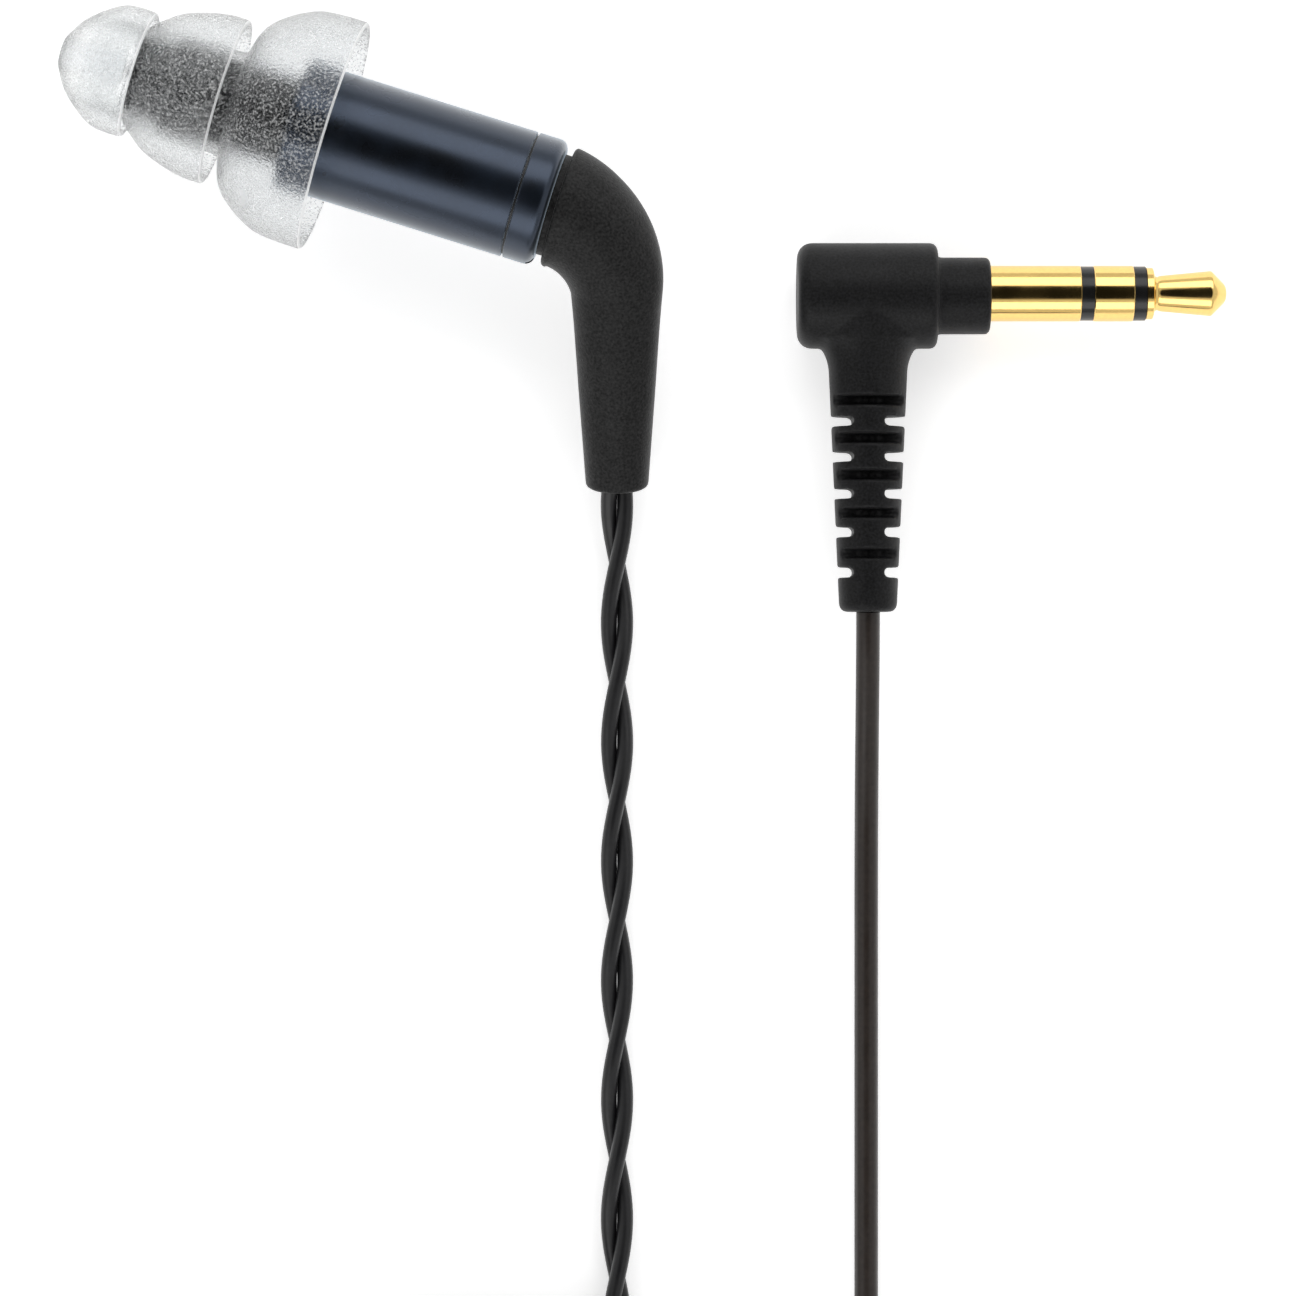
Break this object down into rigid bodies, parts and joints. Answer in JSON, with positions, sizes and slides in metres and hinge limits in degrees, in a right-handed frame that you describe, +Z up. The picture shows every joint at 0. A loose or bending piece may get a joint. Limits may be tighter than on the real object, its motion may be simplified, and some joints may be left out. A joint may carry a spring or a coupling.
{
  "type": "wired earphones",
  "caption": "In-ear earphones laid flat: triple-flange tips on swivelling detachable leads, twisted-pair branches, Y-splitter, chin slider and a right-angle stereo plug.",
  "frame": {"origin": "on the table, under the middle of the box round the two earpieces with their elbows; the cords and what is on them are left out", "axes": "+Z up from the table; +Y towards the left earpiece's end, along the longest side; +X the way the stereo plug points"},
  "size_m": [0.0725, 0.1538, 0.0146],
  "materials": {
    "silicone": "translucent frosted silicone, fine satin grain",
    "anodised": "dark blue anodised aluminium, satin with soft long highlights",
    "black_moulding": "matte black moulded plastic",
    "filter_mesh": "fine woven steel mesh",
    "driver_can": "plain lacquered brass can",
    "black_rubber": "black rubber with a fine moulded grain",
    "gold": "gold-plated, polished",
    "white_insulator": "off-white insulator",
    "enamel": "enamelled wire",
    "spring_steel": "bright spring wire",
    "pair_jacket": "black soft jacket, low sheen",
    "main_jacket": "dark brownish-black smooth jacket",
    "tie_strap": "black woven strap",
    "plug_moulding": "black satin overmoulding",
    "black_insulator": "glossy black insulator",
    "tinned_brass": "tinned solder tags"
  },
  "bodies": {
    "cable": {"elbow_left": "black_rubber", "elbow_right": "black_rubber", "coax_shell_left": "gold", "coax_shell_right": "gold", "coax_insulator_left": "white_insulator", "coax_insulator_right": "white_insulator", "coax_pin_left": "gold", "coax_pin_right": "gold", "cord_left": "pair_jacket", "cord_right": "pair_jacket", "cord_left_tail": "pair_jacket", "cord_right_tail": "pair_jacket", "cord_main": "main_jacket", "cord_plug": "main_jacket", "coil_pair": "pair_jacket", "coil_main": "main_jacket", "ties_pair": "tie_strap", "ties_main": "tie_strap", "splitter_shell": "black_moulding", "splitter_core": "black_rubber", "plug_overmould": "plug_moulding", "plug_sleeve": "gold", "plug_rear_insulator": "black_insulator", "plug_ring": "gold", "plug_front_insulator": "black_insulator", "plug_tip": "gold", "plug_solder_tags": "tinned_brass", "plug_conductors": "enamel"},
    "snap_ring_left": {"snap_ring_left": "spring_steel"},
    "earpiece_left": {"nozzle_left": "black_moulding", "acoustic_filter_left": "filter_mesh", "barrel_left": "anodised", "driver_left": "driver_can", "driver_boot_left": "black_rubber", "end_cap_left": "anodised", "socket_shell_left": "gold", "socket_insulator_left": "white_insulator", "socket_contact_left": "gold", "lead_wires_left": "enamel"},
    "ear_tip_left": {"ear_tip_left": "silicone"},
    "snap_ring_right": {"snap_ring_right": "spring_steel"},
    "earpiece_right": {"nozzle_right": "black_moulding", "acoustic_filter_right": "filter_mesh", "barrel_right": "anodised", "driver_right": "driver_can", "driver_boot_right": "black_rubber", "end_cap_right": "anodised", "socket_shell_right": "gold", "socket_insulator_right": "white_insulator", "socket_contact_right": "gold", "lead_wires_right": "enamel"},
    "ear_tip_right": {"ear_tip_right": "silicone"},
    "chin_slider": {"chin_slider": "black_moulding"}
  },
  "joints": [
    {"name": "swivel_left", "type": "hinge", "parent": "cable", "child": "snap_ring_left", "pos_m": [0.00886, 0.06462, 0.0073], "axis": [0.9542, -0.299, 0], "continuous": true},
    {"name": "unplug_left", "type": "slide", "parent": "snap_ring_left", "child": "earpiece_left", "axis": [-0.9542, 0.299, 0], "range_m": [0, 0.006]},
    {"name": "tip_pull_left", "type": "slide", "parent": "earpiece_left", "child": "ear_tip_left", "axis": [-0.9542, 0.299, 0], "range_m": [0, 0.0125]},
    {"name": "swivel_right", "type": "hinge", "parent": "cable", "child": "snap_ring_right", "pos_m": [-0.00886, -0.06462, 0.0073], "axis": [-0.9542, 0.299, 0], "continuous": true},
    {"name": "unplug_right", "type": "slide", "parent": "snap_ring_right", "child": "earpiece_right", "axis": [0.9542, -0.299, 0], "range_m": [0, 0.006]},
    {"name": "tip_pull_right", "type": "slide", "parent": "earpiece_right", "child": "ear_tip_right", "axis": [0.9542, -0.299, 0], "range_m": [0, 0.0125]},
    {"name": "chin_slide", "type": "slide", "parent": "cable", "child": "chin_slider", "axis": [0, 1, 0], "range_m": [0, 0.008]}
  ]
}
